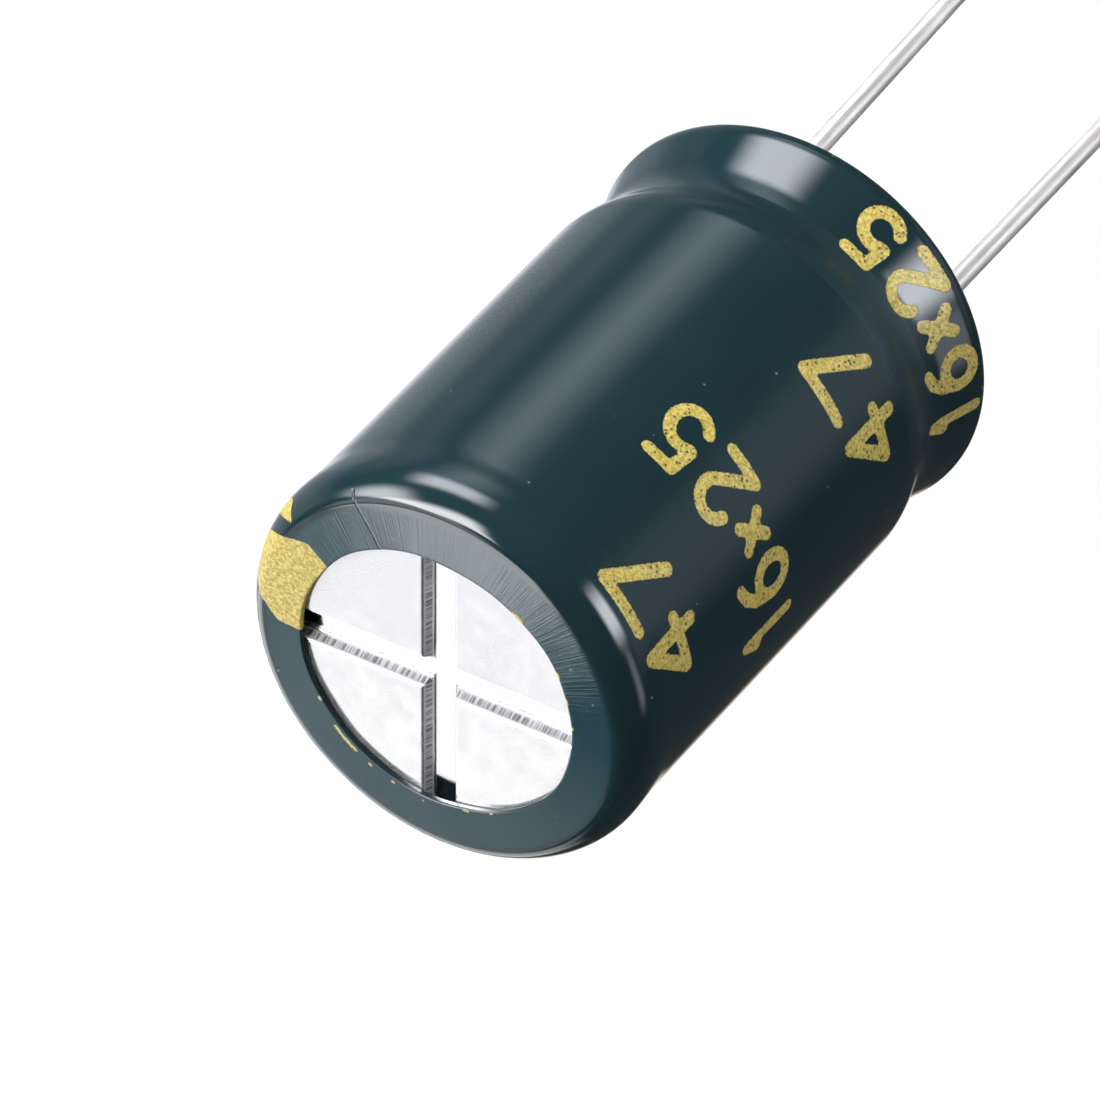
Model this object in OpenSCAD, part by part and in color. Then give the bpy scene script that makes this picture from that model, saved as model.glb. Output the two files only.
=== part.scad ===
// Radial aluminium electrolytic capacitor, 16 by 25 mm class, lead pitch 7.5 mm.
// A wound element hangs on two tabs in a drawn can. A rubber seal closes the can's
// rolled mouth, and a shrink sleeve covers all but the vent.
// Millimetres. Z up, vent end on top. The origin is on the board, midway between
// the leads, which point down. The negative lead is on +X.

/* [Body] */
// Outside diameter of the drawn can
can_d = 15.8; // [12.5:0.1:18]
// Height from the board to the sleeve's upper edge
body_h = 25.3; // [20:0.1:36]
// Wall of the drawn can
can_wall = 0.4; // [0.3:0.05:0.6]
// Thickness of the can's base
base_t = 0.75; // [0.6:0.05:1.2]
// Inside radius between the can's base and wall
base_fillet = 0.6; // [0.3:0.1:1]
// Wall of the shrink sleeve
sleeve_t = 0.25; // [0.15:0.05:0.4]
// Gap where sleeve, can and seal lie on one another
skin_gap = 0.02; // [0.01:0.01:0.05]

/* [Vent end] */
// Diameter of the sleeve's round opening, and of the flat vent face
vent_open_d = 11.2; // [8:0.1:12.4]
// Fall of the ring outside the vent face, in degrees
ring_slope = 5; // [0:0.5:8]
// Radius of the can's corner beyond the ring
corner_r = 0.3; // [0.2:0.05:0.6]
// Angle from upright at which the corner meets the shoulder
corner_turn = 45; // [35:1:60]
// Radius of the can's shoulder
shoulder_r = 1.65; // [1.2:0.05:2.2]
// How far the shoulder stands out from the straight wall
swell = 0.09; // [0:0.01:0.15]
// Height over which the swelling runs out
swell_run = 1.7; // [1:0.1:3]
// Width of the vent's stamped grooves at their floor
groove_w = 0.95; // [0.6:0.05:1.3]
// Depth of the vent's grooves
groove_depth = 0.45; // [0.2:0.05:0.5]
// Run of a groove's sloping side
groove_side = 0.2; // [0.05:0.05:0.3]
// Length of each groove along its floor
groove_l = 12.6; // [10:0.1:13.4]
// Turn of the vent's cross about the body
vent_turn = 12; // [0:1:89]

/* [Neck and mouth] */
// Height of the neck's narrowest place above the board
neck_z = 3.5; // [3:0.1:4.5]
// How far the neck is rolled in
neck_depth = 0.6; // [0.3:0.05:0.9]
// Height from the neck's narrowest place to the straight wall
neck_run = 2.7; // [2.2:0.1:3.2]
// Inside radius of the can's rolled mouth
curl_in_r = 0.14; // [0.1:0.01:0.25]
// Height of the seal's resting face below the sleeve
stand_off = 0.15; // [0.05:0.05:0.4]
// Gap between the sleeve's lower lip and the seal
lip_gap = 0.1; // [0.05:0.05:0.3]

/* [Seal] */
// Thickness of the rubber seal
seal_h = 5.8; // [5:0.1:7]
// Chamfer of the seal's resting face
seal_chamfer = 0.25; // [0.1:0.05:0.4]
// Depth of the cone at each lead's mouth
mouth_cone = 0.35; // [0.2:0.05:0.6]

/* [Leads and tabs] */
// Distance between the leads' axes
pitch = 7.5; // [5:0.1:8.5]
// Diameter of the tinned leads
lead_d = 0.8; // [0.5:0.05:1]
// Length of the positive lead below the board's top face
lead_long = 25; // [10:0.5:35]
// Length of the negative lead below the board's top face
lead_short = 20; // [8:0.5:30]
// Straight length that each lead keeps for the board
lead_straight = 3.5; // [2:0.1:6]
// Angle by which the negative lead springs outward
lead_spring = 1.8; // [0.2:0.1:4]
// Diameter to which each lead thickens at its weld
root_d = 1; // [0.6:0.05:1.4]
// Chamfer of the cut tips
tip_chamfer = 0.1; // [0.02:0.02:0.2]
// Height above the board at which each weld begins
weld_z = 1.7; // [1.2:0.1:2.4]
// Height of each weld
weld_h = 0.5; // [0.3:0.1:0.8]
// Diameter of the tabs' round stems
stem_d = 1.8; // [1.4:0.1:2.4]
// Height over which a stem is pressed flat
press_h = 1.4; // [1:0.1:2.5]
// Width of the tabs' flat blades
blade_w = 2.6; // [2:0.1:3.4]
// Thickness of the tabs' flat blades
blade_t = 0.3; // [0.2:0.05:0.5]
// Length of the tabs' flat blades
blade_l = 13.5; // [8:0.5:20]

/* [Wound element] */
// Room between seal and element for the tabs
tab_room = 1.8; // [1.2:0.1:3]
// Room between the element and the can's base
base_room = 0.4; // [0.2:0.1:1.5]
// Room between the element's tape and the can's wall
wall_room = 0.3; // [0.1:0.05:0.8]
// Diameter of the hole left by the winding pin
core_d = 2.6; // [1.5:0.1:4]
// Pitch of the turns that show at the ends
turn_pitch = 0.45; // [0.35:0.05:1]
// How far the paper stands past the foils
paper_over = 0.5; // [0.2:0.1:1]
// Gap between a blade and the turns beside it
blade_gap = 0.04; // [0.02:0.01:0.1]
// Thickness of the tape that holds the last turn
tape_t = 0.08; // [0.05:0.01:0.15]
// Height of that tape
tape_h = 12; // [6:0.5:16]

/* [Hidden] */
$fn = 96;
eps = 0.01;
can_r = can_d / 2;
open_r = vent_open_d / 2;
lead_r = lead_d / 2;
root_r = root_d / 2;
stem_r = stem_d / 2;

// Heights, from the top down
face_z = body_h - (skin_gap + sleeve_t) / cos(ring_slope);
inner_z = face_z - base_t;

// Shoulder and corner, as arcs of the can's outside
shoulder_c = [
    can_r + swell - shoulder_r,
    corner_z(can_r + swell - shoulder_r + (shoulder_r - corner_r) * sin(corner_turn))
        - (shoulder_r - corner_r) * cos(corner_turn)
];
corner_c = shoulder_c + (shoulder_r - corner_r) * [sin(corner_turn), cos(corner_turn)];

// Neck, as a pair of equal arcs above its narrowest place
neck_turn = 2 * atan(neck_depth / neck_run);
neck_r = neck_run / (2 * sin(neck_turn));
neck_c = [can_r - neck_depth + neck_r, neck_z];

// Rolled mouth, and the angle of the flank between it and the neck
curl_r = curl_in_r + can_wall;
curl_c = [can_r - curl_r, stand_off + sleeve_t + skin_gap + curl_r];
neck_way = neck_c - curl_c;
flank_turn = atan2(neck_way.y, neck_way.x) - acos((neck_r + curl_r) / norm(neck_way));

// Seal, element and tabs
plug_r = curl_c.x - curl_r - skin_gap;
weld_top = weld_z + weld_h;
blade_z = seal_h + press_h;
roll_z = seal_h + tab_room;
roll_h = inner_z - base_room - roll_z;
roll_r = can_r - can_wall - wall_room - tape_t;
turns = floor((roll_r - core_d / 2) / turn_pitch);

// Piece to draw

// Height of the corner arc's centre when it lies at radius r, touching the ring
function corner_z(r) =
    face_z - (r + corner_r * sin(ring_slope) - open_r) * tan(ring_slope)
    - corner_r * cos(ring_slope);

// Points on an arc about c, from angle a to angle b in equal steps of 9 degrees or less
function arc(c, r, a, b) =
    let (n = max(2, ceil(abs(b - a) / 9)))
    [for (i = [0:n]) let (t = a + (b - a) * i / n) c + r * [cos(t), sin(t)]];

// The can's outside from the vent face to its mouth, moved out by d
function shoulder_path(d) = concat(
    [[open_r, face_z + d / cos(ring_slope)]],
    arc(corner_c, corner_r + d, 90 - ring_slope, 90 - corner_turn),
    arc(shoulder_c, shoulder_r + d, 90 - corner_turn, 0)
);
function neck_path(d) = concat(
    [[can_r + d, shoulder_c.y - swell_run]],
    arc([can_r - neck_r, neck_z + neck_run], neck_r + d, 0, -neck_turn),
    arc(neck_c, neck_r - d, 180 - neck_turn, 180 + flank_turn)
);
function mouth_path(d, last) = arc(curl_c, curl_r + d, flank_turn, last);
function reversed(p) = [for (i = [len(p) - 1:-1:0]) p[i]];

module on_lead(side) {
    translate([side * pitch / 2, 0, 0]) children();
}

// Shrink sleeve: follows the can, turned in over the vent face and the mouth
module sleeve() {
    outer = skin_gap + sleeve_t;
    lip_r = plug_r + lip_gap;
    color([0.11, 0.19, 0.21])
    rotate_extrude()
    polygon(concat(
        shoulder_path(outer), neck_path(outer), mouth_path(outer, -90),
        [[lip_r, stand_off], [lip_r, stand_off + sleeve_t]],
        reversed(mouth_path(skin_gap, -90)), reversed(neck_path(skin_gap)),
        reversed(shoulder_path(skin_gap))
    ));
}

// Drawn can: crossed vent grooves in the base, beaded neck, mouth rolled over the seal
module can() {
    wall_r = can_r - can_wall;
    color([0.83, 0.83, 0.85])
    difference() {
        rotate_extrude()
        polygon(concat(
            [[0, face_z]],
            shoulder_path(0), neck_path(0), mouth_path(0, -180),
            reversed(mouth_path(-can_wall, -180)), reversed(neck_path(-can_wall)),
            arc([wall_r - base_fillet, inner_z - base_fillet], base_fillet, 0, 90),
            [[0, inner_z]]
        ));
        for (turn = [0, 90]) rotate([0, 0, vent_turn + turn]) vent_groove();
    }
}

// One groove of the vent: a bar with sloping sides and ends, open at the face
module vent_groove() {
    // The sides run on above the face by eps, at the same slope
    rise = groove_depth + eps;
    run = groove_side * rise / groove_depth;
    intersection() {
        translate([-groove_l, 0, face_z - groove_depth])
        rotate([90, 0, 90])
        linear_extrude(2 * groove_l)
        polygon([
            [-groove_w / 2, 0], [groove_w / 2, 0],
            [groove_w / 2 + run, rise], [-groove_w / 2 - run, rise]
        ]);
        translate([0, groove_w, face_z - groove_depth])
        rotate([90, 0, 0])
        linear_extrude(2 * groove_w)
        polygon([
            [-groove_l / 2, 0], [groove_l / 2, 0],
            [groove_l / 2 + run, rise], [-groove_l / 2 - run, rise]
        ]);
    }
}

// Rubber seal: fills the neck and the rolled mouth, with a stepped bore for each lead
module end_seal() {
    skin = -can_wall - skin_gap;
    color([0.09, 0.09, 0.1])
    difference() {
        rotate_extrude()
        intersection() {
            polygon(concat(
                [[0, seal_h + neck_run], [can_r + skin, seal_h + neck_run]],
                neck_path_below(skin), mouth_path(skin, -180),
                [
                    [curl_c.x - curl_r - skin, curl_c.y + skin_gap],
                    [plug_r, curl_c.y + skin_gap],
                    [plug_r, seal_chamfer], [plug_r - seal_chamfer, 0], [0, 0]
                ]
            ));
            square([can_r, seal_h]);
        }
        for (side = [-1, 1]) on_lead(side) seal_bore();
    }
}

// Neck path without its upper end, for a piece that starts within the neck
function neck_path_below(d) = [for (i = [1:len(neck_path(d)) - 1]) neck_path(d)[i]];

module seal_bore() {
    bore_r = root_r + skin_gap;
    translate([0, 0, -eps]) cylinder(h = weld_z + 2 * eps, r = bore_r);
    translate([0, 0, weld_z - skin_gap]) cylinder(h = seal_h, r = stem_r + skin_gap);
    translate([0, 0, -eps])
    cylinder(h = mouth_cone + eps, r1 = bore_r + mouth_cone + eps, r2 = bore_r);
}

// Wound element: foils and paper in one roll, with the paper's turns standing at both ends
module wound_element() {
    color([0.75, 0.66, 0.5])
    difference() {
        union() {
            translate([0, 0, roll_z + paper_over])
            ring(roll_r, core_d / 2, roll_h - 2 * paper_over);
            for (i = [0:turns - 1]) {
                r = roll_r - i * turn_pitch;
                translate([0, 0, roll_z]) ring(r, r - turn_pitch / 2, roll_h);
            }
        }
        for (side = [-1, 1]) on_lead(side)
        translate([-blade_t / 2 - blade_gap, -blade_w / 2 - blade_gap, roll_z - eps])
        cube([
            blade_t + 2 * blade_gap, blade_w + 2 * blade_gap,
            blade_z + blade_l + blade_gap - roll_z + eps
        ]);
    }
}

module ring(outer, inner, h) {
    rotate_extrude() translate([inner, 0]) square([outer - inner, h]);
}

// Tape round the last turn, half way up the element
module winding_tape() {
    color([0.86, 0.8, 0.55])
    translate([0, 0, roll_z + (roll_h - tape_h) / 2])
    ring(roll_r + tape_t, roll_r, tape_h);
}

// Tab: a round stem in the seal, pressed flat to a blade in the winding
module tab() {
    translate([0, 0, weld_top]) cylinder(h = seal_h - weld_top, r = stem_r);
    intersection() {
        translate([0, 0, seal_h]) cylinder(h = press_h, r1 = stem_r, r2 = blade_w / 2);
        translate([0, blade_w, seal_h])
        rotate([90, 0, 0])
        linear_extrude(2 * blade_w)
        polygon([
            [-stem_r, 0], [stem_r, 0],
            [blade_t / 2, press_h], [-blade_t / 2, press_h]
        ]);
    }
    translate([-blade_t / 2, -blade_w / 2, blade_z]) cube([blade_t, blade_w, blade_l]);
}

module positive_tab() {
    color([0.8, 0.8, 0.82]) on_lead(-1) tab();
}

module negative_tab() {
    color([0.8, 0.8, 0.82]) on_lead(1) tab();
}

// The part of a lead in the seal: it thickens to its weld with the stem
module lead_root() {
    cylinder(h = weld_z, r1 = lead_r, r2 = root_r);
    translate([0, 0, weld_z]) cylinder(h = weld_h, r1 = root_r, r2 = stem_r);
}

// A lead's free end, hanging l below the origin
module lead_tail(l) {
    translate([0, 0, tip_chamfer - l]) cylinder(h = l - tip_chamfer, r = lead_r);
    translate([0, 0, -l]) cylinder(h = tip_chamfer, r1 = lead_r - tip_chamfer, r2 = lead_r);
}

module positive_lead() {
    color([0.78, 0.78, 0.79])
    on_lead(-1) {
        lead_root();
        lead_tail(lead_long);
    }
}

// The negative lead stays straight through the board, then springs out a little.
// Both lengths are cut on the plane that halves the angle between them.
module negative_lead() {
    block = 4 * lead_d;
    color([0.78, 0.78, 0.79])
    on_lead(1) {
        lead_root();
        difference() {
            translate([0, 0, -lead_straight - lead_r])
            cylinder(h = lead_straight + lead_r, r = lead_r);
            translate([0, 0, -lead_straight])
            rotate([0, -lead_spring / 2, 0])
            translate([-block / 2, -block / 2, -block])
            cube(block);
        }
        translate([0, 0, -lead_straight])
        rotate([0, -lead_spring, 0])
        difference() {
            translate([0, 0, lead_r]) lead_tail(lead_short - lead_straight + lead_r);
            rotate([0, lead_spring / 2, 0])
            translate([-block / 2, -block / 2, 0])
            cube(block);
        }
    }
}

sleeve();
can();
end_seal();
wound_element();
winding_tape();
positive_tab();
negative_tab();
positive_lead();
negative_lead();
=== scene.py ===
# Looks of a radial electrolytic capacitor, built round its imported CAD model.
# Sizes are in millimetres and become metres when a mesh is made. Slopes, turns and azimuths
# are in degrees, azimuths from +X towards +Y, and the negative lead stands at azimuth 0.
# Finishes count in metres and radians, apart from the sleeve's fields, which stay in
# millimetres.
import math

import bpy
import numpy as np
from mathutils import Matrix, Vector


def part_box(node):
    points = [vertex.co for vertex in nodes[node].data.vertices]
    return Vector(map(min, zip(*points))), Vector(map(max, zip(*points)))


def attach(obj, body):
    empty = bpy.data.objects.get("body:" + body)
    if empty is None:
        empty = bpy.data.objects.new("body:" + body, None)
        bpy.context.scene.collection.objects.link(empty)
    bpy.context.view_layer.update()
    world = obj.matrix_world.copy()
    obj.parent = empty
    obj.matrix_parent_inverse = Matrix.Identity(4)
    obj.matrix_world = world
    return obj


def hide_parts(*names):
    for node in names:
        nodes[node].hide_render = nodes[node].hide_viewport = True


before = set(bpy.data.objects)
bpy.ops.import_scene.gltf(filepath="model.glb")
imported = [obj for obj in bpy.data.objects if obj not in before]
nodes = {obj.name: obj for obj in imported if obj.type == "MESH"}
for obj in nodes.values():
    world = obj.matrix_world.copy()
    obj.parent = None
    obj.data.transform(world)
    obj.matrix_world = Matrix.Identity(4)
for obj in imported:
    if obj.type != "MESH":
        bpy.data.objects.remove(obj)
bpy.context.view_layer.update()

# ---------------------------------------------------------------- sizes of the CAD model

CAN_R = 7.9
CAN_WALL = 0.4
BASE_T = 0.75
INNER_R = 0.6        # inside corner of the base
BODY_H = 25.3
SLEEVE_T = 0.25
SKIN_GAP = 0.02
OPEN_R = 5.6
RING_SLOPE = 5.0
CORNER_R = 0.3
CORNER_TURN = 45.0
SHOULDER_R = 1.65
SWELL = 0.09
SWELL_RUN = 1.7
NECK_Z = 3.5
NECK_DEPTH = 0.6
NECK_RUN = 2.7
CURL_IN_R = 0.14
STAND_OFF = 0.15
LIP_GAP = 0.1
GROOVE_FLOOR = 0.475
GROOVE_MOUTH = 0.675
GROOVE_DEPTH = 0.45
GROOVE_END = 6.3
VENT_TURN = 12.0
HALF_PITCH = 3.75
LEAD_R = 0.4
ROOT_R = 0.5
STEM_R = 0.9
WELD_Z = 1.7
WELD_H = 0.5
LEAD_LONG = 25.0
LEAD_SHORT = 20.0
LEAD_STRAIGHT = 3.5
LEAD_SPRING = 1.8
LEAD_BEND_R = 4.0
TIP_CHAMFER = 0.1


def sin(degrees):
    return math.sin(math.radians(degrees))


def cos(degrees):
    return math.cos(math.radians(degrees))


SKIN = SKIN_GAP + SLEEVE_T
FACE_Z = BODY_H - SKIN / cos(RING_SLOPE)
INNER_Z = FACE_Z - BASE_T
SHOULDER_X = CAN_R + SWELL - SHOULDER_R
CORNER_X = SHOULDER_X + (SHOULDER_R - CORNER_R) * sin(CORNER_TURN)
RING_FALL = math.tan(math.radians(RING_SLOPE))     # the ring's fall for each 1 outwards
CORNER_Z = (FACE_Z - (CORNER_X + CORNER_R * sin(RING_SLOPE) - OPEN_R) * RING_FALL
            - CORNER_R * cos(RING_SLOPE))
SHOULDER_Z = CORNER_Z - (SHOULDER_R - CORNER_R) * cos(CORNER_TURN)
NECK_TURN = 2 * math.degrees(math.atan(NECK_DEPTH / NECK_RUN))
NECK_R = NECK_RUN / (2 * sin(NECK_TURN))
NECK_X = CAN_R - NECK_DEPTH + NECK_R
CURL_R = CURL_IN_R + CAN_WALL
CURL_X = CAN_R - CURL_R
CURL_Z = STAND_OFF + SLEEVE_T + SKIN_GAP + CURL_R
TO_NECK = (NECK_X - CURL_X, NECK_Z - CURL_Z)       # from the curl's centre to the neck's
FLANK_TURN = (math.degrees(math.atan2(TO_NECK[1], TO_NECK[0]))
              - math.degrees(math.acos((NECK_R + CURL_R) / math.hypot(*TO_NECK))))
LIP_R = CURL_X - CURL_R - SKIN_GAP + LIP_GAP     # the sleeve ends this far from the axis

# ---------------------------------------------------------------- camera

TILT = 49.2          # between the line of sight and the body's axis
SIGHT_AZ = 250.0     # azimuth at which the camera stands
ROLL = -135.86
SEEN_Z = 0.15        # height of a point on the axis
SEEN = (9.20, -8.97, 441.2)     # how far it lies right, down and forward of the camera
FOCAL_PX = 12000     # focal length in the photograph's pixels
PHOTO_PX = 1100
SENSOR = 36


def make_camera():
    """Camera at the photograph's angle. Its axes are the line of sight, turned about itself by
    the roll, and its place is the seen point less its three distances along them."""
    towards = Vector((cos(SIGHT_AZ), sin(SIGHT_AZ), 0))
    forward = -(cos(TILT) * Vector((0, 0, 1)) + sin(TILT) * towards)
    level = forward.cross(Vector((0, 0, 1))).normalized()
    over = level.cross(forward)
    right = cos(ROLL) * level + sin(ROLL) * over
    up = -sin(ROLL) * level + cos(ROLL) * over
    place = Vector((0, 0, SEEN_Z)) - SEEN[0] * right + SEEN[1] * up - SEEN[2] * forward
    data = bpy.data.cameras.new("camera")
    data.sensor_width = SENSOR
    data.lens = SENSOR * FOCAL_PX / PHOTO_PX
    data.clip_start, data.clip_end = 0.02, 20
    camera = bpy.data.objects.new("camera", data)
    axes = Matrix((right, up, -forward)).transposed().to_4x4()
    camera.matrix_world = Matrix.Translation(place / 1000) @ axes
    bpy.context.scene.collection.objects.link(camera)
    bpy.context.scene.camera = camera


make_camera()

# ---------------------------------------------------------------- meshes


def piece(name, patches, fields=()):
    """One closed mesh from patches, each a grid of points (rows, columns, 3) in millimetres
    whose cells are quads, all wound the same way round. Points that coincide are joined, and
    cells that shrink to a line or a point are left out. Where the sum of corner a . (b x c) / 6
    over the triangles, which is the volume, is negative, all faces are turned to point
    outwards. fields are (name, grids) pairs: numbers stored at the points."""
    points = np.concatenate([p.reshape(-1, 3) for p in patches])
    start, quads = 0, []
    for p in patches:
        rows, columns = p.shape[:2]
        index = start + np.arange(rows * columns).reshape(rows, columns)
        cells = [index[:-1, :-1], index[:-1, 1:], index[1:, 1:], index[1:, :-1]]
        quads.append(np.stack(cells, -1).reshape(-1, 4))
        start += rows * columns
    _, first, place = np.unique(np.round(points, 5), axis=0, return_index=True, return_inverse=True)
    quads = place.ravel()[np.concatenate(quads)]
    same = quads == np.roll(quads, -1, axis=1)
    quads = quads[(same.sum(1) < 2) & (quads[:, 0] != quads[:, 2]) & (quads[:, 1] != quads[:, 3])]
    same = quads == np.roll(quads, -1, axis=1)
    whole, cut = quads[~same.any(1)], quads[same.any(1)]
    corners = cut[~(cut == np.roll(cut, -1, axis=1))].reshape(-1, 3)
    triangles = np.concatenate([whole[:, [0, 1, 2]], whole[:, [0, 2, 3]], corners])
    a, b, c = points[first][triangles].transpose(1, 0, 2)
    if (a * np.cross(b, c)).sum() < 0:
        whole, corners = whole[:, ::-1], corners[:, ::-1]
    mesh = bpy.data.meshes.new(name)
    mesh.from_pydata((points[first] / 1000).tolist(), [], whole.tolist() + corners.tolist())
    for field, grids in fields:
        values = np.concatenate([g.ravel() for g in grids])[first].astype(np.float32)
        mesh.attributes.new(field, "FLOAT", "POINT").data.foreach_set("value", values)
    mesh.polygons.foreach_set("use_smooth", [True] * len(mesh.polygons))
    mesh.update()
    made = bpy.data.objects.new(name, mesh)
    bpy.context.scene.collection.objects.link(made)
    return made


def arc(x, z, radius, start, end, steps):
    """Points x + radius cos t, z + radius sin t, with t going evenly from start to end."""
    t = np.radians(np.linspace(start, end, steps + 1))
    return np.stack([x + radius * np.cos(t), z + radius * np.sin(t)], 1)


def line(a, b, steps):
    """Evenly spaced points from a to b."""
    return np.asarray(a) + np.linspace(0, 1, steps + 1)[:, None] * (np.asarray(b) - np.asarray(a))


SAME_POINT = 1e-5


def joined(*parts):
    """The parts of a profile as one, without the points that repeat."""
    path = np.concatenate(parts)
    keep = np.append(True, np.hypot(*np.diff(path, axis=0).T) > SAME_POINT)
    return path[keep]


def softened(path, corner, radius, steps=4):
    """path with the corner nearest to the given point rounded: the points within radius of
    it give way to the curve (1-t)^2 a + 2t(1-t) corner + t^2 b between where they stop."""
    way = np.hypot(*(path - corner).T)
    at = way.argmin()
    low, high = at, at
    while low > 0 and way[low] < radius:
        low -= 1
    while high < len(path) - 1 and way[high] < radius:
        high += 1
    a = path[at] + (path[low] - path[at]) * radius / way[low]
    b = path[at] + (path[high] - path[at]) * radius / way[high]
    t = np.linspace(0, 1, steps + 1)[:, None]
    bend = (1 - t) ** 2 * a + 2 * t * (1 - t) * path[at] + t ** 2 * b
    return joined(path[:low + 1], bend, path[high:])


def travelled(path):
    """Length of the path up to each of its points."""
    return np.append(0, np.cumsum(np.hypot(*np.diff(path, axis=0).T)))


def turned(path, azimuths):
    """The profile of radii and heights carried round the axis: x = r cos a, y = r sin a."""
    a = np.radians(azimuths)
    r, z = path[:, 0, None], path[:, 1, None]
    return np.stack([r * np.cos(a), r * np.sin(a), z + 0 * a], -1)


# ---------------------------------------------------------------- the can's outline


def shoulder(d, fine=1.0):
    """The vent ring, corner and shoulder, moved out by d, from the opening to the widest place."""
    corner = arc(CORNER_X, CORNER_Z, CORNER_R + d, 90 - RING_SLOPE, 90 - CORNER_TURN, int(8 * fine))
    ring = line([OPEN_R, FACE_Z + d / cos(RING_SLOPE)], corner[0], int(16 * fine))
    return joined(ring, corner,
                  arc(SHOULDER_X, SHOULDER_Z, SHOULDER_R + d, 90 - CORNER_TURN, 0, int(12 * fine)))


def wall(d, steps):
    """The side below the shoulder: the swelling runs out as a cosine, and then it is straight."""
    t = np.linspace(0, 1, 13)
    run = np.stack([CAN_R + d + SWELL * (0.5 + 0.5 * np.cos(np.pi * t)), SHOULDER_Z - SWELL_RUN * t], 1)
    return joined(run, line(run[-1], [CAN_R + d, NECK_Z + NECK_RUN], steps))


def neck(d, fine=1.0):
    """The rolled neck: two arcs of the same turn, then the straight flank to the mouth's curl."""
    rolled = joined(arc(CAN_R - NECK_R, NECK_Z + NECK_RUN, NECK_R + d, 0, -NECK_TURN, int(11 * fine)),
                    arc(NECK_X, NECK_Z, NECK_R - d, 180 - NECK_TURN, 180 + FLANK_TURN, int(20 * fine)))
    return joined(rolled, line(rolled[-1], curl(d, -90)[0], int(8 * fine)))


def curl(d, last, steps=14):
    """The rolled mouth, from the flank round to the angle last."""
    return arc(CURL_X, CURL_Z, CURL_R + d, FLANK_TURN, last, steps)


# ---------------------------------------------------------------- print on the sleeve
# Print is laid out on the unrolled sleeve: across is the azimuth times the sleeve's radius,
# up is the way along its outline, which equals the height on the straight wall.

MM_A_DEGREE = math.pi / 180 * (CAN_R + SKIN)


def stroke_loop(across, up, half_x, half_y, start, end, steps=12):
    """A curved stroke: an ellipse's points between two angles."""
    t = np.radians(np.linspace(start, end, steps + 1))
    return np.stack([across + half_x * np.cos(t), up + half_y * np.sin(t)], 1)


def numeral(sign):
    """Strokes of a plain numeral or mark in a box one wide and one high, as lines of points."""
    return {
        "1": [[(0.15, 0.72), (0.6, 1.0), (0.6, 0.0)]],
        "2": [np.concatenate([stroke_loop(0.5, 0.7, 0.46, 0.3, 165, -25), [(0.04, 0.0), (1.0, 0.0)]])],
        "4": [[(0.78, 0.0), (0.78, 1.0), (0.0, 0.3), (1.05, 0.3)]],
        "5": [np.concatenate([[(0.9, 1.0), (0.2, 1.0), (0.12, 0.56)],
                              stroke_loop(0.5, 0.32, 0.48, 0.32, 125, -150)])],
        "6": [stroke_loop(0.5, 0.31, 0.46, 0.31, 0, 360, 20),
              np.array([(0.05, 0.36), (0.2, 0.7), (0.5, 0.92), (0.82, 1.0)])],
        "7": [[(0.0, 1.0), (1.0, 1.0), (0.36, 0.0)]],
        "x": [[(0.0, 0.0), (1.0, 1.0)], [(0.0, 1.0), (1.0, 0.0)]],
    }[sign]


def row_of_print(up, signs):
    """Strokes of one row. signs are (sign, azimuth of its left, its right, rise, height)."""
    strokes = []
    for sign, left, right, rise, height in signs:
        for points in numeral(sign):
            points = np.asarray(points, float)
            across = left + (right - left) * points[:, 0]
            strokes.append(np.stack([across, up + rise + height * points[:, 1]], 1))
    return strokes


# two rows of big numerals and two of small ones: their ways up, and the height of the small
ROWS = ((20.5, 14.65, 2.85), (6.75, 1.1, 2.2))
BIG_HALF, SMALL_HALF = 0.28, 0.26    # half widths of their strokes


def print_strokes():
    """All strokes as (points, half width), with azimuths in degrees and ways up in millimetres."""
    strokes = []
    for big_up, small_up, tall in ROWS:
        big = row_of_print(big_up, [("4", 203.5, 216.5, 0, 2.75), ("7", 222, 238.5, 0, 2.75)])
        small = row_of_print(small_up, [
            ("1", 186, 192, 0, tall), ("6", 198.5, 209, 0, tall), ("x", 214.5, 221, 0.2 * tall, 1.2),
            ("2", 226, 237, 0, tall), ("5", 243, 254, 0, tall)])
        strokes += [(s, BIG_HALF) for s in big] + [(s, SMALL_HALF) for s in small]
    return strokes


def from_strokes(across, up, strokes):
    """How far each point lies inside the print, negative outside: half the stroke's width less
    the least distance to its lines, for points laid out on the unrolled sleeve."""
    inside = np.full(across.shape, -1.0)
    reach = 1.5         # points farther off than this are outside by more than 1
    for points, half in strokes:
        p = points * [MM_A_DEGREE, 1]
        near = ((across > p[:, 0].min() - reach) & (across < p[:, 0].max() + reach)
                & (up > p[:, 1].min() - reach) & (up < p[:, 1].max() + reach))
        x, y = across[near], up[near]
        for a, b in zip(p[:-1], p[1:]):
            step = b - a
            t = np.clip(((x - a[0]) * step[0] + (y - a[1]) * step[1]) / max(step @ step, 1e-9), 0, 1)
            gap = np.hypot(x - a[0] - t * step[0], y - a[1] - t * step[1])
            inside[near] = np.maximum(inside[near], half - gap)
    return inside


def from_sides(across, up, polygon):
    """How far each point lies inside a convex outline, given anticlockwise: the least of its
    distances to the sides' lines."""
    p = np.asarray(polygon, float) * [MM_A_DEGREE, 1]
    inside = np.full(across.shape, 9.0)
    for a, b in zip(p, np.roll(p, -1, axis=0)):
        way = (b - a) / np.hypot(*(b - a))
        inside = np.minimum(inside, way[0] * (up - a[1]) - way[1] * (across - a[0]))
    return inside


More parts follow.
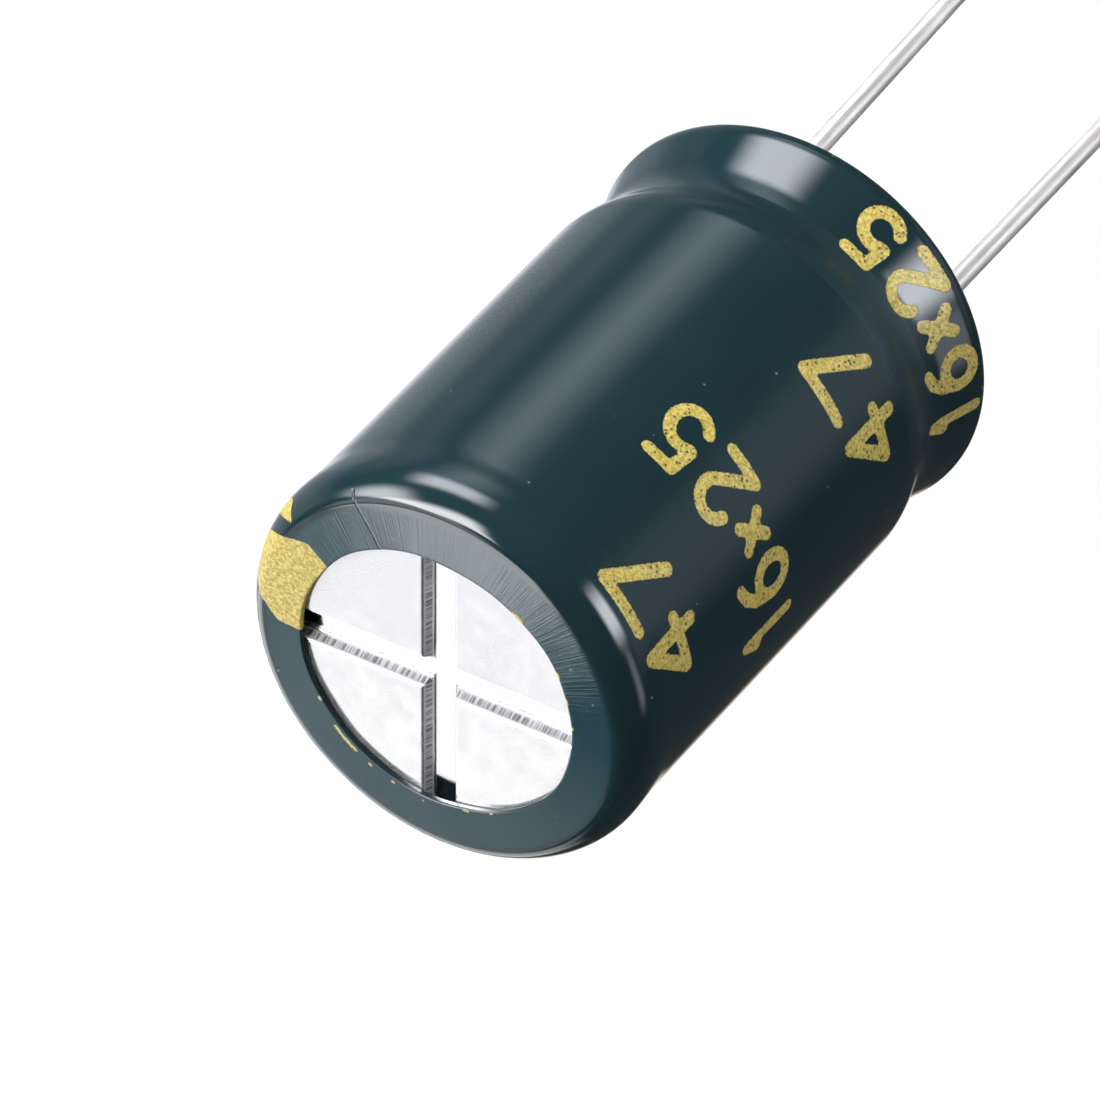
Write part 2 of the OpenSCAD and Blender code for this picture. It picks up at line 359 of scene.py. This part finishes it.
STRIPE = (336.0, 373.5)     # azimuths between which the stripe over the negative lead lies
STRIPE_TOPS = (28.6, 15.1)  # ways up at which its marks begin
BAR_DROPS = (8.3, 10.4)     # how far below that the minus marks begin
BAR_TALL = 1.1
BAR_INSET = 5               # degrees by which they are narrower at either end


def stripe(across, up):
    """The stripe's marks, repeated down the sleeve: an arrowhead and a chevron that point
    to the leads, and two minus marks."""
    left, right = STRIPE
    mid = (left + right) / 2
    inside = np.full(across.shape, -1.0)
    for top in STRIPE_TOPS:
        shapes = [
            [(left, top), (left, top - 2.4), (mid, top - 4.9), (right, top - 2.4), (right, top)],
            [(left, top - 3.3), (left, top - 4.3), (mid, top - 6.8), (mid, top - 5.8)],
            [(mid, top - 5.8), (mid, top - 6.8), (right, top - 4.3), (right, top - 3.3)],
        ]
        for drop in BAR_DROPS:
            high, low = top - drop, top - drop - BAR_TALL
            near, far = left + BAR_INSET, right - BAR_INSET
            shapes.append([(near, high), (near, low), (far, low), (far, high)])
        for shape in shapes:
            inside = np.maximum(inside, from_sides(across, up, shape))
    return inside


FLECKS = [  # cut-off ends of a row of print at the sleeve's opening: azimuths, way up, half width
    (242.9, 247.5, 27.23, 0.09), (217.8, 220.2, 27.24, 0.08), (207.3, 209.0, 27.24, 0.07),
    (195.7, 196.8, 27.23, 0.06), (402.7, 404.0, 27.18, 0.07), (415.0, 427.0, 27.04, 0.08),
    (432.9, 434.6, 27.02, 0.06), (443.3, 444.9, 27.03, 0.06), (456.0, 457.4, 27.02, 0.055),
    (473.9, 476.6, 27.20, 0.05), (486.2, 487.3, 27.22, 0.04),
]


def print_inside(azimuth, up):
    """How far inside the print each point of the sleeve lies, in millimetres, from -1 to 1."""
    azimuth = 100 + (azimuth - 100) % 360       # 100 to 460, so that no row is cut in two
    flecks = [(np.array([(a, u), (b, u)]), half) for a, b, u, half in FLECKS]
    across = azimuth * MM_A_DEGREE
    inside = np.maximum(from_strokes(across, up, print_strokes() + flecks), stripe(across, up))
    # the flecks past azimuth 460 are met a turn further on
    inside = np.maximum(inside, from_strokes(across + 360 * MM_A_DEGREE, up, flecks))
    return np.clip(inside, -1, 1)


# ---------------------------------------------------------------- sleeve

OUTER_EDGE, LIP_EDGE, INNER_EDGE = 0.07, 0.05, 0.04    # how far its cut edges are rounded
MID_WALL_Z = 12                      # a height on the straight wall
WAVES_Z, WAVES_RUN = 22.5, 2.5       # the unevenness begins here, and is full this much higher
WAVES_R, WAVES_IN = 7.3, 1.7         # and here, and is full this much nearer to the axis


def make_sleeve():
    """The shrink sleeve: the can's outline moved out by gap and wall, turned about the axis.
    It lies a little unevenly, in shallow waves round the opening and on the ring."""
    top = shoulder(SKIN)
    foot = [[CURL_X, STAND_OFF], [LIP_R, STAND_OFF], [LIP_R, STAND_OFF + SLEEVE_T]]
    outside = joined(top, wall(SKIN, 106), neck(SKIN, 1.6), curl(SKIN, -90), line(foot[0], foot[1], 4))
    inside = joined(line(foot[2], [CURL_X, STAND_OFF + SLEEVE_T], 2),
                    curl(SKIN_GAP, -90, 6)[::-1], neck(SKIN_GAP, 0.45)[::-1],
                    wall(SKIN_GAP, 2)[::-1], shoulder(SKIN_GAP, 0.5)[::-1])
    path = joined(outside, line(foot[1], foot[2], 3), inside, line(inside[-1], outside[0], 3))
    path = np.concatenate([path[:-1], path[:1]])
    for corner, radius in ((foot[1], OUTER_EDGE), (foot[2], LIP_EDGE), (inside[-1], INNER_EDGE)):
        path = softened(path, corner, radius)
    # the loop starts and ends inside the ring, so that the opening's edge can be rounded too
    start = 6
    path = np.roll(path[:-1], -start, axis=0)
    path = softened(np.concatenate([path, path[:1]]), outside[0], OUTER_EDGE)
    azimuths = np.linspace(0, 360, 321)
    grid = turned(path, azimuths)
    away = travelled(path)
    # way up the outside, measured so that it equals the height on the straight wall
    straight = np.abs(path[:, 1] - MID_WALL_Z).argmin()
    lowest = path[:, 1].argmin()
    height = path[straight, 1] - (away - away[straight])
    # farther than this past the foot, it is measured back from the loop's start instead
    past_foot = 3
    height = np.where(height < height[lowest] - past_foot, height + away[-1], height)
    up = np.broadcast_to(height[:, None], grid.shape[:2])
    azimuth = np.broadcast_to(azimuths, grid.shape[:2])
    # unevenness of the shrunk tube, fading out below the shoulder
    a = np.radians(azimuth)
    near_vent = np.clip((grid[..., 2] - WAVES_Z) / WAVES_RUN, 0, 1)
    waves = 0.016 * np.sin(3 * a + 0.4) + 0.012 * np.sin(7 * a + 2.1) + 0.007 * np.sin(13 * a + 4.0)
    edge = np.clip((WAVES_R - np.hypot(grid[..., 0], grid[..., 1])) / WAVES_IN, 0, 1)
    ripple = 0.012 * np.sin(2 * a + 1.0) + 0.006 * np.sin(5 * a) + 0.003 * np.sin(11 * a + 2)
    grow = 1 + near_vent * edge ** 2 * ripple * 0.9
    grid[..., 0] *= grow
    grid[..., 1] *= grow
    grid[..., 2] += 0.35 * waves * near_vent * edge
    made = piece("shrunk_sleeve", [grid], [("ink", [print_inside(azimuth, up)]), ("way", [up])])
    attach(made, "root")
    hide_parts("sleeve")
    return made


# ---------------------------------------------------------------- can


def greater(a, b, near):
    """The greater of two values, rounded off by a parabola where they are nearly the same."""
    return np.maximum(a, b) + 0.25 * near * np.maximum(1 - np.abs(a - b) / near, 0) ** 2


def groove(t):
    """Depth of the vent's groove at the distance t from its middle line: none past the mouth,
    full at the floor and straight between, with both corners rounded."""
    share = (GROOVE_MOUTH - np.abs(t)) / (GROOVE_MOUTH - GROOVE_FLOOR)
    return GROOVE_DEPTH * -greater(-greater(share, 0 * share, 0.2), 0 * share - 1, 0.1)


def ring_height(r):
    """Height of the base without its grooves: flat inside the opening, then sloping down."""
    return FACE_Z - np.maximum(r - OPEN_R, 0) * RING_FALL


def vent_height(x, y):
    """Height of the vent face: the flat, which slopes down past the opening, less the deeper
    of two crossed grooves, whose inside corners are rounded. Each groove stops at its end."""
    def stop(t):
        s = np.clip((np.abs(t) - GROOVE_END + 0.05) / 0.3, 0, 1)
        return 1 - s * s * (3 - 2 * s)
    one, two = groove(y) * stop(x), groove(x) * stop(y)
    near = 0.1      # the corner between the grooves is rounded where their depths differ by less
    both = np.clip(np.minimum(one, two) / near, 0, 1)
    depth = np.maximum(one, two) * (1 - both) + greater(one, two, near) * both
    return np.minimum(ring_height(np.hypot(x, y)), FACE_Z - np.minimum(depth, GROOVE_DEPTH))


def make_can():
    """The drawn can. Its base is a disc in nine patches: a square at the cross, four arms whose
    rows run along the grooves, and four quadrants blended between their arms and the rim, each
    side's curve weighted by its distance. Rings carry the rim on to the outside and inside."""
    rim = 6.9           # radius of the disc
    half = 1.05         # half width of the square and the arms
    bend = np.linspace(-0.03, 0.03, 6)
    fine = np.concatenate([GROOVE_FLOOR + bend, GROOVE_MOUTH + bend, [0.52, 0.575, 0.63, 0.8]])
    across = np.concatenate([np.linspace(-half, half, 3), [-0.22, 0.22], fine, -fine])
    across = np.unique(np.round(across, 6))
    end = math.sqrt(rim ** 2 - half ** 2)
    # rows from the square to the rim, closer together where the grooves end
    share = np.sort(np.concatenate([np.linspace(0, 1, 43), np.linspace(0.885, 0.965, 14)]))
    spin = math.radians(VENT_TURN)
    middle = math.pi / 4

    def raised(x, y):
        spun_x = x * math.cos(spin) - y * math.sin(spin)
        spun_y = x * math.sin(spin) + y * math.cos(spin)
        return np.stack([spun_x, spun_y, vent_height(x, y)], -1)

    def side(u):
        return half + (end - half) * u

    def quarter(x, y, k):
        for _ in range(k):
            x, y = -y, x
        return raised(x, y)

    patches = [raised(*np.meshgrid(across, across, indexing="ij"))]
    start = math.asin(half / rim)
    for k in range(4):
        u, t = np.meshgrid(share, across, indexing="ij")
        reach = np.sqrt(rim ** 2 - t ** 2)
        patches.append(quarter(half + (reach - half) * u, t, k))
        u, v = np.meshgrid(share, share, indexing="ij")
        low = np.stack([side(u), 0 * u + half], -1)
        left = np.stack([0 * v + half, side(v)], -1)
        right_turn = start + (middle - start) * v
        right_arc = rim * np.stack([np.cos(right_turn), np.sin(right_turn)], -1)
        top_turn = math.pi / 2 - start - (middle - start) * u
        top_arc = rim * np.stack([np.cos(top_turn), np.sin(top_turn)], -1)
        u1, v1 = u[..., None], v[..., None]
        corner = np.array([half, half])
        a, b = np.array([end, half]), np.array([half, end])
        c = rim * np.array([math.cos(middle), math.sin(middle)])
        flat = ((1 - v1) * low + v1 * top_arc + (1 - u1) * left + u1 * right_arc
                - (1 - u1) * (1 - v1) * corner - u1 * (1 - v1) * a - (1 - u1) * v1 * b - u1 * v1 * c)
        patches.append(quarter(flat[..., 0], flat[..., 1], k))
    # azimuths of the rim's points, in order
    arm = np.arcsin(across / rim)
    quadrant = np.concatenate([start + (middle - start) * share,
                               math.pi / 2 - start - (middle - start) * share[::-1]])
    azimuths = np.concatenate([np.concatenate([arm, quadrant]) + k * math.pi / 2 for k in range(4)])
    azimuths = np.unique(np.round(azimuths, 9))
    azimuths = np.append(azimuths, azimuths[0] + 2 * math.pi)
    azimuths = np.degrees(azimuths + spin)
    inner_r = CAN_R - CAN_WALL
    top = shoulder(0, 0.6)
    top = top[top[:, 0] > rim]
    outside = joined(np.array([[rim, ring_height(rim)]]), top,
                     wall(0, 2), neck(0, 0.7), curl(0, -180, 12))
    inside = joined(curl(-CAN_WALL, -180, 6)[::-1], neck(-CAN_WALL, 0.5)[::-1],
                    line([inner_r, NECK_Z + NECK_RUN], [inner_r, INNER_Z - INNER_R], 2),
                    arc(inner_r - INNER_R, INNER_Z - INNER_R, INNER_R, 0, 90, 6),
                    line([inner_r - INNER_R, INNER_Z], [0, INNER_Z], 3))
    patches.append(turned(joined(outside, inside), azimuths))
    made = piece("drawn_can", patches)
    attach(made, "root")
    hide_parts("can")
    return made


# ---------------------------------------------------------------- leads


def swept(path, radii, sides=48):
    """A round wire: circles of the given radii set square to the path, which lies in the plane
    y = 0. Its frame is the path's own direction, the direction across it in the plane, and y."""
    way = np.gradient(path, axis=0)
    way /= np.hypot(*way.T)[:, None]
    a = np.linspace(0, 2 * np.pi, sides + 1)
    out = np.stack([way[:, 1], -way[:, 0]], 1)
    x = path[:, 0, None] + radii[:, None] * np.cos(a) * out[:, 0, None]
    z = path[:, 1, None] + radii[:, None] * np.cos(a) * out[:, 1, None]
    y = radii[:, None] * np.sin(a) + 0 * x
    return np.stack([x, y, z], -1)


def make_lead(name, side, length, spring):
    """A tinned lead: its weld and root in the seal, then the wire, straight or bent through the
    angle spring, down to a cut tip with a broken edge. side is -1 or 1 along X."""
    apart = 1e-4        # keeps points of the path from coinciding, so that each has a direction
    root = [(WELD_Z + WELD_H, 0.0), (WELD_Z + WELD_H, STEM_R), (WELD_Z, ROOT_R), (0.0, LEAD_R)]
    z0 = np.array([z for z, r in root])
    r0 = np.array([r for z, r in root])
    bend = math.radians(spring)
    run = LEAD_BEND_R * bend / 2
    down = np.linspace(0.0, LEAD_STRAIGHT - run, 8)[1:]
    path = [np.stack([0 * z0, z0], 1), np.stack([0 * down, -down], 1)]
    radii = [r0, np.full(len(down), LEAD_R)]
    if spring:
        t = np.linspace(0, bend, 9)[1:]
        path.append(np.stack([LEAD_BEND_R * (1 - np.cos(t)),
                              -LEAD_STRAIGHT + run - LEAD_BEND_R * np.sin(t)], 1))
        radii.append(np.full(len(t), LEAD_R))
    rest = length - LEAD_STRAIGHT
    tip = np.array([math.sin(bend) * rest, -LEAD_STRAIGHT - math.cos(bend) * rest])
    last = path[-1][-1]
    way = (tip - last) / np.hypot(*(tip - last))
    steps = 60
    path.append(line(last, tip - way * TIP_CHAMFER, steps)[1:])
    radii.append(np.full(steps, LEAD_R))
    path.append(np.array([tip, tip]) - way * np.array([[apart], [0]]))
    radii.append(np.array([LEAD_R - TIP_CHAMFER, 0]))
    centre = np.concatenate(path)
    size = np.concatenate(radii)
    centre[0, 1] += apart
    grid = swept(centre, size)
    grid[..., 0] += side * HALF_PITCH
    made = piece(name + "_wire", [grid[::-1]])
    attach(made, "root")
    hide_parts(name)
    return made


# ---------------------------------------------------------------- shader expressions


class Socket:
    """A node's output that can be used in expressions: each operator adds one Math node."""

    def __init__(self, out):
        self.out = out

    @staticmethod
    def math(operation, *values, clamp=False):
        tree = next(v.out.id_data for v in values if isinstance(v, Socket))
        settings = {"operation": operation, "use_clamp": clamp}
        return add(tree, "ShaderNodeMath", settings, dict(enumerate(values)))

    def __add__(self, other): return Socket.math("ADD", self, other)
    def __radd__(self, other): return Socket.math("ADD", other, self)
    def __sub__(self, other): return Socket.math("SUBTRACT", self, other)
    def __rsub__(self, other): return Socket.math("SUBTRACT", other, self)
    def __mul__(self, other): return Socket.math("MULTIPLY", self, other)
    def __rmul__(self, other): return Socket.math("MULTIPLY", other, self)
    def __truediv__(self, other): return Socket.math("DIVIDE", self, other)
    def __pow__(self, other): return Socket.math("POWER", self, other)
    def __abs__(self): return Socket.math("ABSOLUTE", self)

    def most(self, other): return Socket.math("MAXIMUM", self, other)
    def least(self, other): return Socket.math("MINIMUM", self, other)
    def clamped(self): return Socket.math("ADD", self, 0.0, clamp=True)

    def ramp(self, low, high):
        """0 below low, 1 above high, and a smooth step between. low may be the greater."""
        a, b, first, last = (low, high, 0.0, 1.0) if low < high else (high, low, 1.0, 0.0)
        tree = self.out.id_data
        values = {"Value": self, "From Min": a, "From Max": b, "To Min": first, "To Max": last}
        return add(tree, "ShaderNodeMapRange", {"interpolation_type": "SMOOTHSTEP"}, values, "Result")


def add(tree, kind, settings=None, values=None, output=0):
    """Any node: its settings are set first, then its sockets' values or links. Gives the named
    output, or the node itself where output is None."""
    node = tree.nodes.new(kind)
    for name, value in (settings or {}).items():
        setattr(node, name, value)
    for key, value in (values or {}).items():
        if isinstance(value, Socket):
            tree.links.new(value.out, node.inputs[key])
        else:
            node.inputs[key].default_value = value
    return Socket(node.outputs[output]) if output is not None else node


def blend(a, b, factor):
    """Colour a where factor is 0 and b where it is 1."""
    tree = factor.out.id_data
    a, b = (c if isinstance(c, Socket) else (*c, 1) for c in (a, b))
    return add(tree, "ShaderNodeMix", {"data_type": "RGBA"}, {0: factor, 6: a, 7: b}, 2)


class Finish:
    """A material whose surface is one Principled BSDF, and the textures that drive it."""

    def __init__(self, name):
        self.material = bpy.data.materials.new(name)
        self.material.use_nodes = True
        self.tree = self.material.node_tree
        self.tree.nodes.clear()
        self.place = add(self.tree, "ShaderNodeTexCoord", output="Object")

    def add(self, kind, settings=None, values=None, output=0):
        return add(self.tree, kind, settings, values, output)

    def field(self, name):
        return self.add("ShaderNodeAttribute", {"attribute_name": name}, output="Fac")

    def stretched(self, x, y, z):
        """Place times a scale for each axis."""
        values = {0: self.place, 1: (x, y, z)}
        return self.add("ShaderNodeVectorMath", {"operation": "MULTIPLY"}, values)

    def noise(self, scale, detail=2.0, roughness=0.5, at=None):
        """Noise from 0 to 1, with scale waves a metre."""
        values = {"Vector": at or self.place, "Scale": scale, "Detail": detail, "Roughness": roughness}
        return self.add("ShaderNodeTexNoise", {"normalize": True}, values)

    def cells(self, scale):
        """Distance to the nearest of many scattered points, scale of them a metre."""
        values = {"Vector": self.place, "Scale": scale}
        return self.add("ShaderNodeTexVoronoi", None, values, "Distance")

    def split(self, vector):
        node = self.add("ShaderNodeSeparateXYZ", None, {0: vector}, None)
        return [Socket(o) for o in node.outputs]

    def polar(self):
        """Distance from the axis in metres, the angle about it in radians, and the height."""
        x, y, z = self.split(self.place)
        return (x * x + y * y) ** 0.5, Socket.math("ARCTAN2", y, x), z

    def bump(self, height, depth, normal=None):
        """Normal bent by a height from 0 to 1 that stands for depth metres."""
        values = {"Height": height, "Distance": depth, "Strength": 1.0}
        if normal:
            values["Normal"] = normal
        return self.add("ShaderNodeBump", None, values)

    def surface(self, **values):
        """The Principled BSDF as the surface, with its sockets named in lower case."""
        named = {key.replace("_", " ").title().replace("Ior", "IOR"): value
                 for key, value in values.items()}
        shader = self.add("ShaderNodeBsdfPrincipled", None, named)
        self.add("ShaderNodeOutputMaterial", None, {"Surface": shader}, None)
        return self.material


# ---------------------------------------------------------------- finishes


def sleeve_finish():
    """Glossy dark sleeve with gold print. The print's edge is ragged, and its ink is mottled
    and pricked with pinholes that let the sleeve through. The ring is finely drawn inwards."""
    f = Finish("shrink_sleeve")
    ragged = f.noise(9000, 2) - 0.5
    ink = f.field("ink") + 0.09 * ragged
    way = f.field("way")
    # few pinholes where the sleeve has shrunk most, at the vent end
    pin = (f.cells(4700) + 0.35 * (f.noise(16000, 0) - 0.5)).ramp(0.36, 0.18) * way.ramp(25.4, 23.6)
    some = f.noise(2600, 1).ramp(0.40, 0.52)
    printed = ink.ramp(-0.02, 0.03) * (1 - 0.8 * pin * some)
    grain = f.noise(7000, 3, 0.7)
    teal = blend((0.0075, 0.022, 0.028), (0.0105, 0.031, 0.038), f.noise(260, 3))
    turn = f.polar()[1]
    ring = way.ramp(25.5, 25.8)
    teal = blend(teal, (0.009, 0.045, 0.060), ring)
    # the neck is duller on the printed side
    neck = way.ramp(2.9, 3.6) * way.ramp(6.6, 5.4) * abs(turn + 2.34).ramp(0.86, 0.52)
    gold = blend((0.30, 0.225, 0.025), (0.70, 0.58, 0.17), grain.ramp(0.3, 0.7))
    lines = f.add("ShaderNodeCombineXYZ", None, {"X": turn * 70, "Y": way * 0.12})
    drawn = f.noise(1.0, 3, 0.7, lines)
    # one crease runs over the ring, a little askew
    crease_at = abs(turn + 0.903 + 0.0304 * (way - 26.1))
    crease = crease_at.ramp(0.011, 0.003) * way.ramp(24.85, 25.1)
    dust = f.cells(900).ramp(0.06, 0.03) * f.noise(500, 0).ramp(0.55, 0.62)
    soft = f.noise(420, 2)
    normal = f.bump(soft, 0.000006)
    normal = f.bump(drawn * ring, 0.000005, normal)
    normal = f.bump(1 - crease, 0.00003, normal)
    normal = f.bump(printed, 0.000006, normal)
    cut = way.ramp(27.24, 27.31)        # the sleeve's cut edge at the opening, which is painted darker as shade
    # painted shade: the crease and the cut edge take a darker teal
    colour = blend(blend(teal, (0.008, 0.022, 0.027), crease.most(cut)), gold, printed)
    colour = blend(colour, (0.35, 0.38, 0.38), 0.5 * dust)
    roughness = 0.07 + 0.02 * ring + 0.32 * printed + 0.05 * soft + 0.28 * neck
    return f.surface(base_color=colour, roughness=roughness, ior=1.5, normal=normal)


def vent_finish():
    """Bright drawn aluminium, faintly mottled. The walls of its grooves are duller, with fine
    marks of the stamp across them."""
    f = Finish("drawn_aluminium")
    x, y, z = f.split(f.place)
    c, s = cos(VENT_TURN), sin(VENT_TURN)
    along, beside = x * c + y * s, y * c - x * s
    face, floor = FACE_Z / 1000, (FACE_Z - GROOVE_DEPTH) / 1000
    walls = z.ramp(face + 0.000015, face - 0.000045) * z.ramp(floor + 0.00002, floor + 0.00006)
    # marks follow one another along each groove, whichever of the two directions that is
    lines = f.add("ShaderNodeCombineXYZ", None,
                  {"X": abs(along).most(abs(beside)) * 8500, "Y": (along + beside) * 500})
    marks = f.noise(1.0, 2, 0.7, lines).ramp(0.38, 0.62)
    mottle = f.noise(900, 4, 0.6)
    fine = f.noise(14000, 2)
    normal = f.bump(fine, 0.0000016)
    normal = f.bump(mottle, 0.000003, normal)
    # painted light: brighter towards one side, in mottled patches, and brightest on the grooves' floor
    painted_light_and_mottle = ((y * sin(115) + x * cos(115)) * 110 + 0.4 + 2.2 * (mottle - 0.5)).clamped()
    low = z.ramp(floor + 0.00006, floor + 0.00001)
    bright = blend((0.84, 0.84, 0.88), (0.985, 0.985, 0.985), painted_light_and_mottle.most(low))
    # painted shading of the rounded edges: thin grey lines along the grooves' mouth and floor
    aside = abs(along).least(abs(beside))
    at_mouth, at_floor = (abs(aside - d).ramp(0.00005, 0.00002) for d in (0.00069, 0.00045))
    painted_edge_lines = at_mouth.most(at_floor)
    bright = blend(bright, (0.40, 0.40, 0.43), 0.85 * painted_edge_lines)
    # the stamp tore dark dashes half way down the walls, which scatter some light
    dashes = marks * abs(z - (face + floor) / 2).ramp(0.00016, 0.00010)
    dull = blend((0.62, 0.62, 0.64), (0.16, 0.16, 0.17), dashes)
    return f.surface(base_color=blend(bright, dull, walls),
                     metallic=1 - 0.1 * (1 - low) - 0.5 * walls,
                     roughness=0.075 + 0.03 * mottle + 0.25 * walls, normal=normal)


def lead_finish():
    """Satin tin on drawn wire: streaks and shallow draw marks along the lead. Its dull bloom
    scatters light, so it isn't all metal."""
    f = Finish("tinned_wire")
    streaks = f.noise(1.0, 3, 0.6, f.stretched(6500, 6500, 160))
    patches = f.noise(900, 2)
    normal = f.bump(streaks, 0.00001)
    tin = blend((0.71, 0.68, 0.65), (0.91, 0.88, 0.85), streaks.ramp(0.3, 0.7))
    return f.surface(base_color=tin, metallic=0.72, roughness=0.36 + 0.16 * patches, normal=normal)


def seal_finish():
    """Matt moulded rubber with a fine grain."""
    f = Finish("moulded_rubber")
    grain, broad = f.noise(8000, 3, 0.6), f.noise(600, 2)
    return f.surface(base_color=blend((0.022, 0.022, 0.024), (0.04, 0.04, 0.042), broad),
                     roughness=0.55 + 0.15 * grain, normal=f.bump(grain, 0.00001))


# in metres
TURN_T = 0.00011              # thickness of one turn of foils and papers
ROLL_MID_Z = 0.01574          # height of the roll's middle
ROLL_END = (0.0074, 0.0076)   # its ends begin between these distances from it


def element_finish():
    """Soaked paper, whose turns show on the ends as rings with foil edges between them."""
    f = Finish("wound_paper")
    far, _, height = f.polar()
    wave = Socket.math("SINE", far * (2 * math.pi / TURN_T))
    fibre = f.noise(3500, 4, 0.7)
    ends = abs(height - ROLL_MID_Z).ramp(*ROLL_END)
    foil = wave.ramp(0.3, 0.9) * ends
    paper = blend((0.55, 0.44, 0.27), (0.72, 0.62, 0.43), fibre)
    return f.surface(base_color=blend(paper, (0.62, 0.62, 0.64), foil), metallic=0.8 * foil,
                     roughness=0.75 - 0.35 * foil, normal=f.bump(fibre, 0.00002))


def tape_finish():
    """Tan film tape, smooth, with a faint grain along its length."""
    f = Finish("film_tape")
    grain = f.noise(1.0, 3, 0.6, f.stretched(700, 700, 9000))
    return f.surface(base_color=blend((0.66, 0.53, 0.26), (0.78, 0.67, 0.40), grain),
                     roughness=0.28 + 0.12 * grain, normal=f.bump(grain, 0.000004))


def tab_finish():
    """Pressed aluminium, dull, with marks of the press across it."""
    f = Finish("pressed_aluminium")
    marks = f.noise(1.0, 3, 0.6, f.stretched(1200, 1200, 7000))
    return f.surface(base_color=blend((0.68, 0.68, 0.70), (0.84, 0.84, 0.85), marks), metallic=1.0,
                     roughness=0.36 + 0.14 * marks, normal=f.bump(marks, 0.000008))


# ---------------------------------------------------------------- floor and light

FLOOR_DROP = 0.1        # from the longer lead's tip down to the floor
FLOOR_HALF = 4000.0


def make_floor():
    """A plain pale floor just below the lead tips."""
    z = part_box("positive_lead")[0].z * 1000 - FLOOR_DROP
    s = FLOOR_HALF
    made = piece("floor", [np.array([[[-s, -s, z], [s, -s, z]], [[-s, s, z], [s, s, z]]])])
    f = Finish("pale_floor")
    f.surface(base_color=blend((0.97, 0.97, 0.97), (0.99, 0.99, 0.99), f.noise(30, 2)), roughness=0.9)
    made.data.materials.append(f.material)
    made.visible_glossy = made.visible_diffuse = made.visible_shadow = False


# Soft boxes and pale sides of the studio: azimuth, half width, edge, elevation, half height,
# edge, all in degrees, and strength
BOXES = [
    (307, 16, 9, -12, 11, 7, 10.5),
    (310, 12, 15, -35, 13, 3, 1.75),
    (216, 11, 8, -13, 13, 6, 12.5),
    (204, 22, 15, -49, 23, 8, 0.48),
    (320, 30, 8, 49, 14, 6, 18.0),
    (342, 14, 10, 25, 11, 10, 12.0),
    (8, 25, 10, 58, 19, 6, 2.5),
    (58.3, 15, 2, 61, 16, 3.5, 6.0),
    (63, 20, 4, 30, 12.2, 1.2, 0.96),
    (70, 27, 9, 7, 18, 5, 2.6),
    (38, 31, 11, -17, 36, 12, 0.48),
    (352, 9, 12, -41, 22, 10, 0.3),
    (184, 14, 6, -12, 6, 6, 1.95),
]
FILL = [  # broad light that only matt surfaces get
    (292, 25, 20, -5, 18, 14, 4.7),
    (121, 25, 20, -10, 25, 20, 2.1),
]
BACKDROP = (65.5, 19, 7, -40, 16, 8, 0.95)     # what of the white backdrop can be mirrored
WARM = (92, 18, 4, -41, 30, 8, 1.0)            # what the sides mirror as warm light
DIM = 0.05                                     # light between the boxes


def make_light():
    """A studio painted on the sky: dim all round, with soft boxes given by azimuth and
    elevation. The camera sees white, and so does what mirrors the backdrop behind the part.
    Matt surfaces get less from high up and more from the fill, so that colours render about
    as they are written on the vent end and the sides alike."""
    world = bpy.data.worlds.new("studio")
    bpy.context.scene.world = world
    world.use_nodes = True
    world.cycles.sampling_method = "NONE"   # lamps sampled apart would not know which rays are matt
    tree = world.node_tree
    tree.nodes.clear()
    way = add(tree, "ShaderNodeTexCoord", output="Generated")
    parts = add(tree, "ShaderNodeSeparateXYZ", None, {0: way}, None)
    x, y, z = (Socket(o) for o in parts.outputs)
    flat = (x * x + y * y).most(1e-6) ** 0.5
    elevation = Socket.math("ARCSINE", z) * math.degrees(1)

    def patch(azimuth, half_a, edge_a, middle, half_e, edge_e, strength):
        near = (x * cos(azimuth) + y * sin(azimuth)) / flat
        aside = Socket.math("ARCCOSINE", near.least(1).most(-1)) * math.degrees(1)
        return (strength * aside.ramp(half_a + edge_a, half_a - edge_a)
                * abs(elevation - middle).ramp(half_e + edge_e, half_e - edge_e))

    light = DIM
    for box in BOXES:
        light = light + patch(*box)
    rays = ("Is Camera Ray", "Is Glossy Ray", "Is Transmission Ray", "Is Diffuse Ray")
    camera, glossy, through, matt = (add(tree, "ShaderNodeLightPath", output=ray) for ray in rays)
    weakened = light * (1 - matt * (0.44 + 0.11 * elevation.ramp(5, 40)))
    light = weakened + matt * (patch(*FILL[0]) + patch(*FILL[1]))
    seen = camera.most(through).most(glossy * patch(*BACKDROP))
    strength = light * (1 - seen) + seen
    # what the sides mirror from below is a little blue, and a little warm towards the right
    below = glossy * elevation.ramp(0, -25)
    tint = blend((0.93, 0.98, 1.08), (1.08, 0.99, 0.86), patch(*WARM))
    colour = blend((1, 1, 1), tint, below)
    background = add(tree, "ShaderNodeBackground", None, {"Color": colour, "Strength": strength})
    add(tree, "ShaderNodeOutputWorld", None, {"Surface": background}, None)


bpy.context.scene.view_settings.view_transform = "Standard"
make_floor()
make_light()

sleeve = make_sleeve()
can = make_can()
leads = [make_lead("positive_lead", -1, LEAD_LONG, 0.0),
         make_lead("negative_lead", 1, LEAD_SHORT, LEAD_SPRING)]
for finish, shown in ((sleeve_finish, [sleeve]), (vent_finish, [can]), (lead_finish, leads),
                      (seal_finish, [nodes["end_seal"]]), (element_finish, [nodes["wound_element"]]),
                      (tape_finish, [nodes["winding_tape"]]),
                      (tab_finish, [nodes["positive_tab"], nodes["negative_tab"]])):
    material = finish()
    for item in shown:
        item.data.materials.clear()
        item.data.materials.append(material)
